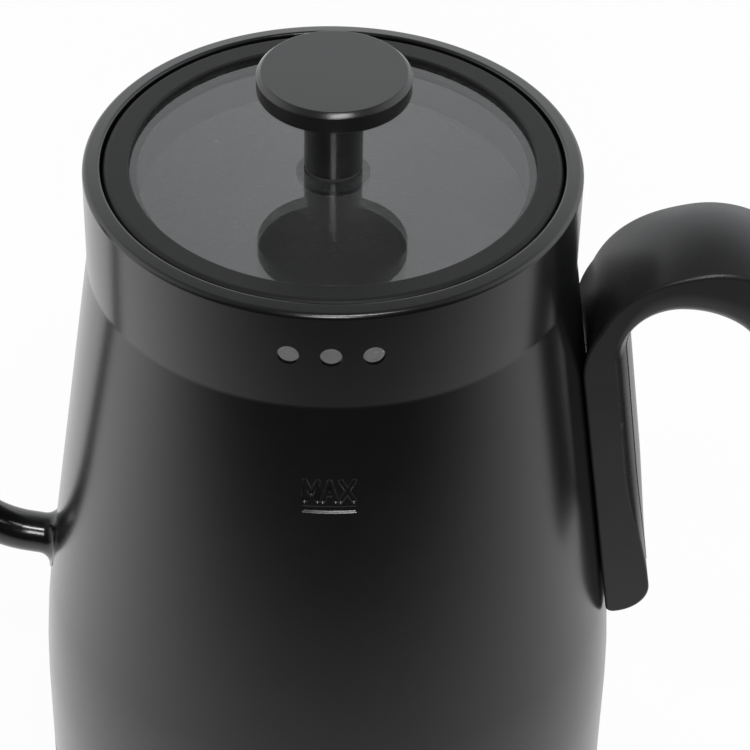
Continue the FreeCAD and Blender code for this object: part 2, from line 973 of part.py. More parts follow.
def base_cover():
    guide_outside = socket_guide_radius + socket_guide_wall
    inside = base_radius - cover_wall
    cover = revolved(
        [
            (socket_guide_radius, 0),
            (guide_outside, 0),
            (guide_outside, foot_height),
            (foot_inner_radius, foot_height),
            (foot_inner_radius, 0),
            (foot_outer_radius, 0),
            (foot_outer_radius, foot_height),
            (base_radius, foot_height, cover_edge_round),
            (base_radius, cover_top),
            (inside, cover_top),
            (inside, cover_floor_top, cover_inner_round),
            (guide_outside, cover_floor_top),
            (guide_outside, socket_guide_length),
            (socket_guide_radius, socket_guide_length),
        ]
    )
    post_foot = cover_floor_top - cover_floor / 2
    posts = at_base_screws(base_post_radius, post_foot, cover_top - weld_gap)
    cuts = at_base_screws(base_screw_head_radius + fit_gap, 0, base_recess)
    cuts += at_base_screws(base_screw_radius + fit_gap, 0, cover_top)
    return joined([cover] + posts).cut(cuts)


def base_seal():
    outside = base_radius - fit_gap
    bottom = cover_top + weld_gap
    return ring(outside - base_seal_width, outside, bottom, bottom + base_seal_thickness)


def base_screws():
    shanks = at_base_screws(base_screw_radius, base_recess, cover_top + base_screw_bite)
    heads = at_base_screws(base_screw_head_radius, base_recess - base_screw_head, base_recess)
    return Part.makeCompound([joined([shank, head]) for shank, head in zip(shanks, heads)])


pieces = {
    "body_shell": body_shell,
    "mouth_ring": mouth_ring,
    "vessel_floor": vessel_floor,
    "spout_tube": spout_tube,
    "spout_root": spout_root,
    "handle_shell": handle_shell,
    "handle_inner_strip": handle_inner_strip,
    "handle_bracket": handle_bracket,
    "handle_screws": handle_screws,
    "lid_upper_ring": lid_upper_ring,
    "lid_lower_ring": lid_lower_ring,
    "lid_seal": lid_seal,
    "lid_glass": lid_glass,
    "glass_gasket": glass_gasket,
    "lid_knob": lid_knob,
    "knob_washer_upper": knob_washer_upper,
    "knob_washer_lower": knob_washer_lower,
    "knob_cup_washer": knob_cup_washer,
    "knob_screw": knob_screw,
    "floor_bosses": floor_bosses,
    "heat_spreader": heat_spreader,
    "heating_element": heating_element,
    "element_pins": element_pins,
    "control_housing": control_housing,
    "contact_pin": lambda: contact("contact_pin"),
    "contact_inner_ring": lambda: contact("contact_inner_ring"),
    "contact_outer_ring": lambda: contact("contact_outer_ring"),
    "thermal_cutouts": thermal_cutouts,
    "control_screws": control_screws,
    "temperature_probe": temperature_probe,
    "probe_seal": probe_seal,
    "probe_nut": probe_nut,
    "probe_lead": probe_lead,
    "base_cover": base_cover,
    "base_seal": base_seal,
    "base_screws": base_screws,
}

os.makedirs("parts", exist_ok=True)
for name, make in pieces.items():
    shape = make()
    shape.exportStep("parts/" + name + ".step")
    print(name, "solids", len(shape.Solids), "valid", shape.isValid(), "volume", round(shape.Volume, 1))
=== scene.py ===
import math

import bmesh
import bpy
from mathutils import Matrix, Vector


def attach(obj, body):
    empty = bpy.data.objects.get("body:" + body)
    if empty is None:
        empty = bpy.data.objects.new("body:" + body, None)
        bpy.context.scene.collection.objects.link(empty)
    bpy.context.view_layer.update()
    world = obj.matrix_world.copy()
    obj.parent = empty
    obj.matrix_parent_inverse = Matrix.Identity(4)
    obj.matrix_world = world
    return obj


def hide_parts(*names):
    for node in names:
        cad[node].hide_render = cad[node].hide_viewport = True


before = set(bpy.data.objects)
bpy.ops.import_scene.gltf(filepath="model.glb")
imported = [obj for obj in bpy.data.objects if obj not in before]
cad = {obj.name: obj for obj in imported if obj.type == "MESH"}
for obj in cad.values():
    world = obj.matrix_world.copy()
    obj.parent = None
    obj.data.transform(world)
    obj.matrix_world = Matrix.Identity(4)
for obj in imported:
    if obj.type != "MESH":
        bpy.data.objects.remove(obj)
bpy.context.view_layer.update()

# Sizes are in millimetres, as in the part's source, and the meshes in metres
mm = 0.001
quarter = math.radians(90)
sideways = Vector((0, 1, 0))

# Vessel
rim_height = 165.0
rim_radius = 47.0
rim_fall = 0.5
rim_outer_round = 1.1
rim_inner_round = 0.6
rim_edge = 2.6
collar_bottom = 143.5
collar_round = 6.0
collar_slack = 1.0
base_radius = 59.8
shoulder_height = 50.0
shoulder_round = 200.0
shell_bottom = 16.5
wall = 0.8
vent_height = 155.2
vent_radius = 2.0
vent_pitch = 7.7
vent_drill_inset = 1.0
vent_drill_length = 5.0
inlet_drill_length = 8.0
cone_slope = (base_radius - rim_radius) / (collar_bottom - shoulder_height)
cone_angle = math.atan(cone_slope)

# Mouth ring, a pressing of the vessel's sheet
seat_radius = 43.6
seat_round = 0.6
ledge_height = 158.5
mouth_radius = 39.5
mouth_round = 1.2
lip_bottom = 154.5
weld_gap = 0.05
paint_end = 0.1

# Fill mark on the front: the letters' places from left to right, and how they are pressed in
mark_top = 128.1
mark_bottom = 123.1
mark_half_width = 4.95
mark_depth = 0.34
mark_flank = 0.22
stroke_half = 0.40
m_places = (-4.55, -3.35, -2.15)
m_dip = 0.6
a_places = (-1.20, 0.0, 1.20)
a_bar_half = 0.78
a_bar_rise = 1.3
x_places = (2.10, 4.50)
line_top = 122.2
line_bottom = 121.0
field_side = 1.6
field_end = 1.2
field_depth = 0.3
field_cuts = 10

# Spout
spout_radius = 4.25
spout_wall = 0.7
spout_height = 68.5
spout_fillet = 2.5
spout_sunk = 0.4
root_rise = math.radians(11.0)
neck_rise = math.radians(78.0)
tip_fall = math.radians(15.0)
root_run = 18.5
neck_run = 98.0
tip_run = 34.0
spout_bend = 20.0
tip_bevel = math.radians(25.0)
tip_trim = 0.4
tip_edge = 0.16
weld_tuck = 0.05
weld_inset = 0.02
weld_steps = 8

# Handle
handle_gap = 0.3
handle_half_width = 12.0
handle_bottom = 58.9
leg_thickness = 8.2
leg_back_round = 1.5
arch_top = 148.0
arch_underside = 136.9
arch_outer_near = 23.4
arch_outer_far = 24.0
arch_inner_near = 9.5
arch_inner_far = 18.5
grip_bottom = 59.0
grip_outer_lean = math.radians(3.0)
grip_inner_lean = math.radians(4.5)
grip_end_round = 5.0
grip_straight_bottom = grip_bottom + grip_end_round - 1.0

# Soft forms of the handle, and the heights over which they fade out towards its ends
handle_crown = 2.4
handle_crest = 1.9
handle_outer_edge = 0.7
handle_inner_round = 6.5
handle_inner_crown = 3.0
leg_swell = 0.6
leg_squareness = 0.9
crown_start = -0.99
crown_reach = 0.8
leg_fade = 30.0
grip_fade = 60.0
edge_fade = 40.0
sharp_side = math.radians(50)
strip_half_width = 7.5
strip_margin = 10.0
strip_rise = 0.1

# Where the handle's sides are cut lengthwise, as shares of the half width and as places
outer_cuts = (-0.88, -0.76, -0.62, -0.46, -0.24, 0.0, 0.24, 0.46, 0.62, 0.76, 0.88)
inner_cuts = (0.0, 2.5, 5.0, strip_half_width, 8.4, 9.6, 10.5, 11.25)

# Lid
lid_top = 164.7
lid_radius = 43.25
lid_edge_round = 1.2
ring_inner_radius = 38.2
ring_inner_round = 0.5
glass_radius = 40.7
glass_top = 163.5
glass_bottom = 160.3
glass_bore = 3.2
glass_edge = 0.5
glass_play = 0.15
web_top = 159.7
knob_radius = 14.4
knob_top = 184.6
knob_bottom = 180.3
knob_chamfer = 0.9
knob_edge = 0.35
knob_under_round = 0.6
knob_face_share = 0.75
knob_bore = 2.05
knob_bore_top = 174.9
stem_radius = 5.5
stem_bottom = 163.9
stem_foot_round = 0.3
stem_top_round = 0.5

# Corners this near each other are one, and corners this near a ring or a line lie on it
doubled = 0.0005
outline_doubled = 0.001
on_ring = 0.001
on_line = 0.02
on_level = 0.01
on_axis = 0.001

# A rounding has a face for every so much of its turn, and at least so many
round_step = math.radians(11)
round_faces = 3


# Handling of pieces, as at the bench


def clamped(share):
    return max(0.0, min(1.0, share))


def eased(share):
    """A share from 0 to 1 that starts and ends softly."""
    share = clamped(share)
    return share * share * (3 - 2 * share)


def put_down():
    """Leaves edit mode and lets go of everything."""
    held = bpy.context.object
    if held and held.mode != "OBJECT":
        bpy.ops.object.mode_set(mode="OBJECT")
    bpy.ops.object.select_all(action="DESELECT")


def pick_up(piece):
    put_down()
    bpy.context.view_layer.objects.active = piece
    piece.select_set(True)


def named(name):
    """Names the primitive that was just added."""
    piece = bpy.context.object
    piece.name = name
    piece.data.name = name
    return piece


def work_on(piece):
    """Opens a piece for shaping, with nothing in it selected."""
    pick_up(piece)
    bpy.ops.object.mode_set(mode="EDIT")
    bpy.ops.mesh.select_all(action="DESELECT")


def take_all_edges():
    """Opens the piece in hand with all its edges selected."""
    bpy.ops.object.mode_set(mode="EDIT")
    bpy.ops.mesh.select_mode(type="EDGE")
    bpy.ops.mesh.select_all(action="SELECT")


def pull_edges(step):
    """Draws the selected edges out by a step in metres."""
    bpy.ops.mesh.extrude_edges_move(TRANSFORM_OT_translate={"value": step})


def widen(size, height):
    """Widens the selected ring about the upright axis."""
    bpy.ops.transform.resize(value=(size, size, 1), center_override=(0, 0, height * mm))


def bridge_open_ends():
    bpy.ops.mesh.select_all(action="DESELECT")
    bpy.ops.mesh.select_non_manifold()
    bpy.ops.mesh.bridge_edge_loops()


def choose(piece, kind, test):
    """Selects an open piece's edges or faces whose corners, in millimetres, all pass a test."""
    bpy.ops.mesh.select_mode(type="EDGE" if kind == "edges" else "FACE")
    bpy.ops.mesh.select_all(action="DESELECT")
    shape = bmesh.from_edit_mesh(piece.data)
    for element in getattr(shape, kind):
        if all(test(corner.co / mm) for corner in element.verts):
            element.select_set(True)
    bmesh.update_edit_mesh(piece.data)


def apply_modifier(piece, kind, **settings):
    """Adds a modifier, sets it and applies it."""
    pick_up(piece)
    modifier = piece.modifiers.new(kind.lower(), kind)
    for setting, value in settings.items():
        setattr(modifier, setting, value)
    bpy.ops.object.modifier_apply(modifier=modifier.name)


def smooth(piece, degrees=32.0):
    """Smooth shading up to an edge angle, with flat faces kept flat."""
    pick_up(piece)
    bpy.ops.object.shade_smooth_by_angle(angle=math.radians(degrees))
    apply_modifier(piece, "WEIGHTED_NORMAL", keep_sharp=True, weight=60)


def merge_and_turn_out():
    """Merges doubled corners of the open piece and turns its faces outwards."""
    bpy.ops.mesh.select_all(action="SELECT")
    bpy.ops.mesh.remove_doubles(threshold=doubled * mm)
    bpy.ops.mesh.normals_make_consistent(inside=False)
    put_down()


def close_up(piece):
    work_on(piece)
    merge_and_turn_out()


def ring_distance(point, radius, height):
    return max(abs(math.hypot(point.x, point.y) - radius), abs(point.z - height))


def turned(name, rings, around, closed=False):
    """A turned piece, raised ring by ring: (radius, height) or (radius, height, rounding)."""
    put_down()
    bpy.ops.mesh.primitive_circle_add(
        vertices=around,
        radius=rings[0][0] * mm,
        location=(0, 0, rings[0][1] * mm),
        fill_type="NOTHING",
    )
    piece = named(name)
    bpy.ops.object.transform_apply(location=True, rotation=True, scale=True)
    take_all_edges()
    for below, above in zip(rings, rings[1:]):
        pull_edges((0, 0, (above[1] - below[1]) * mm))
        if above[0] == 0:
            bpy.ops.mesh.merge(type="CENTER")
            break
        if above[0] != below[0]:
            widen(above[0] / below[0], above[1])
    if closed:
        bridge_open_ends()
    for i, ring in enumerate(rings):
        if len(ring) < 3:
            continue
        before = Vector(rings[i - 1][:2]) - Vector(ring[:2])
        after = Vector(rings[(i + 1) % len(rings)][:2]) - Vector(ring[:2])
        turn = math.pi - before.angle(after)
        choose(piece, "edges", lambda point: ring_distance(point, ring[0], ring[1]) < on_ring)
        bpy.ops.mesh.bevel(
            offset=ring[2] * math.tan(turn / 2) * mm,
            segments=max(round_faces, round(turn / round_step)),
            profile=0.5,
            affect="EDGES",
            clamp_overlap=False,
        )
    close_up(piece)
    return piece


def hand_over(piece, body, finishes, replaced):
    """Gives a finished piece its materials, its body and the solids that it stands for."""
    piece.data.materials.clear()
    for finish in finishes:
        piece.data.materials.append(finish)
    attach(piece, body)
    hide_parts(*replaced)


# Finishes

# The part of a noise pattern's range that is used, and the patterns' detail and cells per metre
pattern_range = (0.3, 0.7)
broad_detail = 4.0
fine_detail = 2.0
grains_across = 25
cloud_scale = 90.0
smear_scale = 25.0


def give(tree, node, inputs):
    """Gives a node's inputs a value each, or the output of another node."""
    for name, value in inputs.items():
        if isinstance(value, bpy.types.NodeSocket):
            tree.links.new(value, node.inputs[name])
        else:
            node.inputs[name].default_value = value


def add_node(tree, kind, inputs=None):
    node = tree.nodes.new("ShaderNode" + kind)
    give(tree, node, inputs or {})
    return node


def new_finish(name):
    """A material with its nodes and shader, and the object's own coordinates."""
    finish = bpy.data.materials.new(name)
    finish.use_nodes = True
    tree = finish.node_tree
    place = add_node(tree, "TexCoord").outputs["Object"]
    return finish, tree, tree.nodes["Principled BSDF"], place


def noise(tree, place, scale, detail, stretch=(1, 1, 1)):
    """Noise at so many cells per metre, stretched along the axes."""
    mapping = add_node(tree, "Mapping", {"Vector": place, "Scale": stretch})
    texture = add_node(
        tree,
        "TexNoise",
        {"Vector": mapping.outputs["Vector"], "Scale": scale, "Detail": detail},
    )
    return texture.outputs["Fac"]


def spread(tree, source, given, wanted, course="LINEAR"):
    """Maps a value from one range to another."""
    reach = add_node(
        tree,
        "MapRange",
        {
            "Value": source,
            "From Min": given[0],
            "From Max": given[1],
            "To Min": wanted[0],
            "To Max": wanted[1],
        },
    )
    reach.interpolation_type = course
    return reach.outputs["Result"]


def tint(tree, source, dark, light):
    """Blends two colours by a pattern."""
    ramp = add_node(tree, "ValToRGB", {"Fac": source})
    for stop, position, colour in zip(ramp.color_ramp.elements, pattern_range, (dark, light)):
        stop.position = position
        stop.color = (*colour, 1)
    return ramp.outputs["Color"]


def bump(tree, source, height):
    """A small relief, in millimetres."""
    relief = add_node(
        tree, "Bump", {"Strength": 1.0, "Distance": height * mm, "Height": source}
    )
    return relief.outputs["Normal"]


def worked_out(tree, operation, first, second):
    node = add_node(tree, "Math", {0: first, 1: second})
    node.operation = operation
    return node.outputs["Value"]


def mixed(tree, share, first, second):
    return add_node(tree, "MixShader", {"Fac": share, 1: first, 2: second}).outputs["Shader"]


def show(tree, surface):
    give(tree, tree.nodes["Material Output"], {"Surface": surface})


def coat(tree, shader, broad, fine, dark, light, roughness, relief, specular, metal):
    """Colour by a broad pattern, roughness and relief by a fine one."""
    give(
        tree,
        shader,
        {
            "Base Color": tint(tree, broad, dark, light),
            "Roughness": spread(tree, fine, pattern_range, roughness),
            "Normal": bump(tree, fine, relief),
            "Specular IOR Level": specular,
            "Metallic": metal,
        },
    )


def grained(
    name, dark, light, roughness, grain, relief, specular=0.5, metal=0.0, stretch=(1, 1, 1)
):
    """A finish with a fine grain, so many grains per metre."""
    finish, tree, shader, place = new_finish(name)
    broad = noise(tree, place, grain / grains_across, broad_detail, stretch)
    fine = noise(tree, place, grain, fine_detail, stretch)
    coat(tree, shader, broad, fine, dark, light, roughness, relief, specular, metal)
    return finish


def lathed(name, dark, light, roughness, ring_count, relief, specular=0.5, metal=1.0):
    """A finish from the lathe, with fine rings round the kettle's axis."""
    finish, tree, shader, place = new_finish(name)
    apart = add_node(tree, "SeparateXYZ", {"Vector": place}).outputs
    flat = add_node(tree, "CombineXYZ", {"X": apart["X"], "Y": apart["Y"]})
    away = add_node(tree, "VectorMath", {0: flat.outputs["Vector"]})
    away.operation = "LENGTH"
    radial = add_node(tree, "CombineXYZ", {"X": away.outputs["Value"], "Y": apart["Z"]})
    rings = noise(tree, radial.outputs["Vector"], ring_count, fine_detail)
    cloud = noise(tree, place, cloud_scale, broad_detail)
    coat(tree, shader, cloud, rings, dark, light, roughness, relief, specular, metal)
    return finish


def smoked_glass():
    """Tempered glass. Light that comes up from inside the kettle passes it unbent."""
    finish, tree, shader, place = new_finish("smoked_glass")
    smear = noise(tree, place, smear_scale, fine_detail)
    give(
        tree,
        shader,
        {
            "Base Color": tint(tree, smear, (0.46, 0.465, 0.47), (0.48, 0.485, 0.49)),
            "Roughness": 0.0,
            "Transmission Weight": 1.0,
            "IOR": 1.72,
        },
    )
    through = add_node(tree, "BsdfTransparent", {"Color": (0.95, 0.95, 0.95, 1)})
    path = add_node(tree, "LightPath").outputs
    coming = add_node(tree, "NewGeometry").outputs["Incoming"]
    rise = add_node(tree, "SeparateXYZ", {"Vector": coming}).outputs["Z"]
    light = worked_out(tree, "MAXIMUM", path["Is Shadow Ray"], path["Is Diffuse Ray"])
    outside = worked_out(tree, "LESS_THAN", path["Transmission Depth"], 0.5)
    below = worked_out(tree, "LESS_THAN", rise, 0.0)
    inside = worked_out(tree, "MULTIPLY", outside, below)
    glanced = worked_out(tree, "MULTIPLY", path["Is Glossy Ray"], inside)
    unbent = worked_out(tree, "MAXIMUM", light, glanced)
    show(tree, mixed(tree, unbent, shader.outputs["BSDF"], through.outputs["BSDF"]))
    return finish


body_paint = grained(
    "satin_black_paint",
    dark=(0.0040, 0.0041, 0.0044),
    light=(0.0062, 0.0064, 0.0068),
    roughness=(0.19, 0.25),
    grain=2600.0,
    relief=0.003,
    specular=0.75,
)
spout_paint = grained(
    "gloss_black_paint",
    dark=(0.0040, 0.0041, 0.0045),
    light=(0.0060, 0.0062, 0.0068),
    roughness=(0.13, 0.19),
    grain=1800.0,
    relief=0.002,
    specular=0.8,
)
handle_plastic = grained(
    "handle_moulding",
    dark=(0.0215, 0.0218, 0.0226),
    light=(0.0255, 0.0258, 0.0266),
    roughness=(0.26, 0.34),
    grain=3400.0,
    relief=0.0008,
    specular=0.37,
)
strip_plastic = grained(
    "handle_lining",
    dark=(0.0165, 0.0168, 0.0175),
    light=(0.0205, 0.0208, 0.0215),
    roughness=(0.22, 0.30),
    grain=3400.0,
    relief=0.0004,
)
lid_plastic = grained(
    "lid_moulding",
    dark=(0.0070, 0.0072, 0.0077),
    light=(0.0098, 0.0100, 0.0106),
    roughness=(0.46, 0.58),
    grain=3600.0,
    relief=0.008,
    specular=0.36,
)
base_plastic = grained(
    "base_moulding",
    dark=(0.0080, 0.0082, 0.0086),
    light=(0.0115, 0.0117, 0.0122),
    roughness=(0.44, 0.56),
    grain=3000.0,
    relief=0.012,
)
silicone = grained(
    "grey_silicone",
    dark=(0.055, 0.056, 0.058),
    light=(0.075, 0.076, 0.078),
    roughness=(0.52, 0.64),
    grain=1500.0,
    relief=0.010,
    specular=0.35,
)
lead_sleeve = grained(
    "lead_sleeve",
    dark=(0.55, 0.55, 0.52),
    light=(0.66, 0.66, 0.63),
    roughness=(0.48, 0.60),
    grain=2400.0,
    relief=0.010,
)
bare_steel = grained(
    "drawn_steel",
    dark=(0.91, 0.91, 0.90),
    light=(0.94, 0.94, 0.93),
    roughness=(0.26, 0.34),
    grain=900.0,
    relief=0.001,
    metal=1.0,
    stretch=(1, 1, 9),
)
screw_steel = lathed(
    "screw_steel",
    dark=(0.46, 0.46, 0.45),
    light=(0.58, 0.58, 0.57),
    roughness=(0.22, 0.36),
    ring_count=3500.0,
    relief=0.003,
)
plate_aluminium = lathed(
    "plate_aluminium",
    dark=(0.66, 0.67, 0.68),
    light=(0.76, 0.77, 0.78),
    roughness=(0.34, 0.46),
    ring_count=2600.0,
    relief=0.005,
)
contact_brass = lathed(
    "contact_brass",
    dark=(0.62, 0.42, 0.16),
    light=(0.74, 0.52, 0.22),
    roughness=(0.20, 0.34),
    ring_count=3000.0,
    relief=0.003,
)
knob_black = lathed(
    "knob_anodised",
    dark=(0.014, 0.014, 0.014),
    light=(0.018, 0.018, 0.018),
    roughness=(0.20, 0.27),
    ring_count=5200.0,
    relief=0.0006,
    specular=0.65,
    metal=0.0,
)
lid_glass_finish = smoked_glass()


# Vessel


def cone_radius(height):
    return rim_radius + (collar_bottom - height) * cone_slope


def fill_strokes():
    """The strokes of the word MAX, each from one end to the other."""
    high, low = mark_top - stroke_half, mark_bottom + stroke_half
    dip = (high + low) / 2 - m_dip
    m_left, m_middle, m_right = m_places
    a_left, a_middle, a_right = a_places
    x_left, x_right = x_places
    bar = low + a_bar_rise
    strokes = [
        (m_left, low, m_left, high),
        (m_left, high, m_middle, dip),
        (m_middle, dip, m_right, high),
        (m_right, high, m_right, low),
        (a_left, low, a_middle, high),
        (a_middle, high, a_right, low),
        (-a_bar_half, bar, a_bar_half, bar),
        (x_left, high, x_right, low),
        (x_left, low, x_right, high),
    ]
    return [(Vector(stroke[:2]), Vector(stroke[2:])) for stroke in strokes]


def distance_to_stroke(point, start, end):
    run = end - start
    along = clamped((point - start).dot(run) / run.dot(run))
    return (point - start - run * along).length


def fill_mark_depth(x, z, strokes):
    """How deep the word and the line under it are pressed in at a place on the front."""
    point = Vector((x, z))
    letters = min(distance_to_stroke(point, start, end) for start, end in strokes) - stroke_half
    line = max(abs(x) - mark_half_width, line_bottom - z, z - line_top)
    return mark_depth * clamped(0.5 - min(letters, line) / mark_flank)


def press_fill_mark(piece):
    """Refines the front of the cone, lays it on the true cone and presses the mark into it."""
    half = mark_half_width + field_side
    low, high = line_bottom - field_end, mark_top + field_end

    def on_front(point):
        outer = math.hypot(point.x, point.y) > cone_radius(point.z) - field_depth
        return point.y < 0 and abs(point.x) < half and outer

    def on_cone(point):
        return on_front(point) and shoulder_height < point.z < collar_bottom + collar_slack

    def in_field(point):
        return on_front(point) and low - on_level < point.z < high + on_level

    def cut_level(test, height):
        choose(piece, "faces", test)
        bpy.ops.mesh.bisect(plane_co=(0, 0, height * mm), plane_no=(0, 0, 1))

    work_on(piece)
    for height in (low, high):
        cut_level(on_cone, height)
    rows = round(high - low)
    for i in range(1, rows):
        cut_level(in_field, low + (high - low) * i / rows)
    choose(piece, "faces", in_field)
    bpy.ops.mesh.subdivide(number_cuts=field_cuts)
    strokes = fill_strokes()
    shape = bmesh.from_edit_mesh(piece.data)
    for corner in shape.verts:
        x, y, z = corner.co / mm
        if in_field(Vector((x, y, z))):
            radius = cone_radius(z) - fill_mark_depth(x, z, strokes)
            across = max(-1.0, min(1.0, x / math.hypot(x, y)))
            front = -radius * math.sqrt(1 - across * across)
            corner.co = Vector((radius * across, front, z)) * mm
    bmesh.update_edit_mesh(piece.data)
    put_down()


def drill_out(piece, radius, length, middle, turn):
    """Drills a hole into a piece with a rod at a place and with a turn."""
    put_down()
    bpy.ops.mesh.primitive_cylinder_add(vertices=64, radius=radius * mm, depth=length * mm)
    rod = named("drill")
    rod.data.transform(Matrix.Translation(Vector(middle) * mm) @ turn)
    apply_modifier(piece, "BOOLEAN", operation="DIFFERENCE", object=rod, solver="EXACT")
    bpy.data.objects.remove(rod)


def spout_lean():
    """Turns an upright piece into the direction of the spout's root."""
    return Matrix.Rotation(root_rise - quarter, 4, "Y")


def make_body():
    body = turned(
        "kettle_body",
        [
            (base_radius, shell_bottom),
            (base_radius, shoulder_height, shoulder_round),
            (rim_radius, collar_bottom, collar_round),
            (rim_radius, rim_height - rim_fall, rim_outer_round),
            (seat_radius, rim_height, rim_inner_round),
            (seat_radius, rim_height - rim_edge),
        ],
        around=360,
    )
    body.data.materials.append(body_paint)
    body.data.materials.append(bare_steel)
    apply_modifier(
        body,
        "SOLIDIFY",
        thickness=wall * mm,
        offset=-1.0,
        use_even_offset=True,
        material_offset=1,
        material_offset_rim=1,
    )
    for i in (-1, 0, 1):
        angle = i * vent_pitch / rim_radius
        side = Matrix.Rotation(angle, 4, "Z") @ Matrix.Rotation(quarter, 4, "X")
        away = rim_radius - vent_drill_inset
        place = (math.sin(angle) * away, -math.cos(angle) * away, vent_height)
        drill_out(body, vent_radius, vent_drill_length, place, side)
    root = (-cone_radius(spout_height), 0, spout_height)
    drill_out(body, spout_radius - spout_wall, inlet_drill_length, root, spout_lean())
    press_fill_mark(body)
    smooth(body, 30.0)
    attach(body, "kettle")
    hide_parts("body_shell")


def make_mouth_ring():
    """The pressed ring under the rim: painted on the lid's ledge and lip, bare underneath."""
    top = rim_height - rim_edge - weld_gap
    ring = turned(
        "mouth_ring_pressing",
        [
            (seat_radius, top),
            (seat_radius, ledge_height, seat_round),
            (mouth_radius, ledge_height, mouth_round),
            (mouth_radius, lip_bottom),
            (mouth_radius + wall, lip_bottom),
            (mouth_radius + wall, ledge_height - wall, mouth_round - wall),
            (seat_radius + wall, ledge_height - wall, seat_round + wall),
            (seat_radius + wall, top),
        ],
        closed=True,
        around=240,
    )
    smooth(ring)
    hand_over(ring, "kettle", [body_paint, bare_steel], ["mouth_ring"])

    def underneath(point):
        away = math.hypot(point.x, point.y)
        return away > mouth_radius + paint_end and point.z < ledge_height - paint_end

    work_on(ring)
    choose(ring, "faces", underneath)
    ring.active_material_index = 1
    bpy.ops.object.material_slot_assign()
    put_down()


# Spout


def on_side(x, z):
    return Vector((x, 0, z))


def spout_corners():
    """The root on the wall, the two bends' corners and the tip."""
    root = on_side(-cone_radius(spout_height), spout_height)
    low = root + on_side(-math.cos(root_rise), math.sin(root_rise)) * root_run
    high = low + on_side(-math.cos(neck_rise), math.sin(neck_rise)) * neck_run
    tip = high + on_side(-math.cos(tip_fall), -math.sin(tip_fall)) * tip_run
    return root, low, high, tip


def make_spout():
    root, low, high, tip = spout_corners()
    start = root - (low - root).normalized() * spout_sunk
    put_down()
    bpy.ops.mesh.primitive_circle_add(vertices=72, radius=spout_radius * mm, fill_type="NOTHING")
    spout = named("gooseneck_tube")
    spout.data.transform(Matrix.Translation(start * mm) @ spout_lean())
    take_all_edges()
    here = start
    for before, corner, after in ((root, low, high), (low, high, tip)):
        arrive = (corner - before).normalized()
        leave = (after - corner).normalized()
        turn = arrive.angle(leave)
        reach = spout_bend * math.tan(turn / 2)
        entry = corner - arrive * reach
        pull_edges((entry - here) * mm)
        side = 1.0 if arrive.cross(leave).y > 0 else -1.0
        centre = entry + (sideways * side).cross(arrive) * spout_bend
        bpy.ops.mesh.spin(steps=28, angle=-side * turn, center=centre * mm, axis=sideways)
        here = corner + leave * reach
    beyond = tip + (tip - here).normalized() * spout_radius
    pull_edges((beyond - here) * mm)
    merge_and_turn_out()
    apply_modifier(spout, "SOLIDIFY", thickness=spout_wall * mm, offset=-1.0, use_even_offset=True)

    # The tip is cut off at a slant, and its edge rounded
    slope = tip_fall + tip_bevel
    face = on_side(-math.cos(slope), -math.sin(slope))
    edge = tip + on_side(spout_radius * math.tan(tip_bevel) + tip_trim, 0)
    work_on(spout)
    choose(spout, "faces", lambda point: point.x < high.x and point.z > tip.z - spout_bend)
    bpy.ops.mesh.bisect(plane_co=edge * mm, plane_no=face, use_fill=False, clear_outer=True)
    bpy.ops.mesh.select_mode(type="EDGE")
    bridge_open_ends()
    choose(spout, "edges", lambda point: abs((point - edge).dot(face)) < on_level)
    bpy.ops.mesh.bevel(offset=tip_edge * mm, segments=3, affect="EDGES", clamp_overlap=True)
    close_up(spout)
    smooth(spout, 40.0)
    hand_over(spout, "kettle", [spout_paint], ["spout_tube"])


def make_spout_weld():
    """The small cove between the tube and the wall, laid against the round of the wall."""
    root, low = spout_corners()[:2]
    axis = (low - root).normalized()
    radius, height = spout_radius - weld_tuck, 0.0
    put_down()
    bpy.ops.mesh.primitive_circle_add(vertices=96, radius=radius * mm, fill_type="NOTHING")
    weld = named("spout_weld")
    take_all_edges()
    for i in range(weld_steps + 1):
        angle = quarter * i / weld_steps
        wide = spout_radius + spout_fillet * (1 - math.cos(angle))
        drop = -spout_fillet * math.sin(angle)
        pull_edges((0, 0, (drop - height) * mm))
        widen(wide / radius, drop)
        radius, height = wide, drop
    pull_edges((0, 0, -spout_sunk * mm))
    put_down()
    place = root + axis * (spout_fillet - weld_inset)
    weld.data.transform(Matrix.Translation(place * mm) @ spout_lean())
    for corner in weld.data.vertices:
        point = corner.co / mm
        reach = max(0.0, -(point - root - axis * spout_fillet).dot(axis)) / spout_fillet
        flat = math.sqrt(max(1.0, cone_radius(point.z) ** 2 - point.y**2))
        lag = cone_radius(point.z) - flat
        corner.co = (point + on_side(lag * min(1.0, reach) ** 2, 0)) * mm
    close_up(weld)
    smooth(weld, 50.0)
    hand_over(weld, "kettle", [spout_paint], ["spout_root"])


# Handle: an upside-down J in the plane through the spout, with its leg along the cone


def leg_point(height, away):
    """A point off the cone's side, away from the vessel."""
    off = on_side(math.cos(cone_angle), math.sin(cone_angle)) * away
    return on_side(cone_radius(height), height) + off


def arch_centre(top, radius, away):
    height = top - radius
    return on_side(cone_radius(height) + (away + radius) / math.cos(cone_angle), height)


def on_arch(centre, radius, angle):
    return centre + on_side(math.cos(angle), math.sin(angle)) * radius


def down_grip(start, lean, height):
    return on_side(start.x + (start.z - height) * math.tan(lean), height)


# Centres of the arch's four rounds, outer and inner, near the vessel and far from it
outer_near_centre = arch_centre(arch_top, arch_outer_near, handle_gap)
outer_far_centre = on_side(outer_near_centre.x, arch_top - arch_outer_far)
inner_near_centre = arch_centre(arch_underside, arch_inner_near, handle_gap + leg_thickness)
inner_far_centre = on_side(inner_near_centre.x, arch_underside - arch_inner_far)

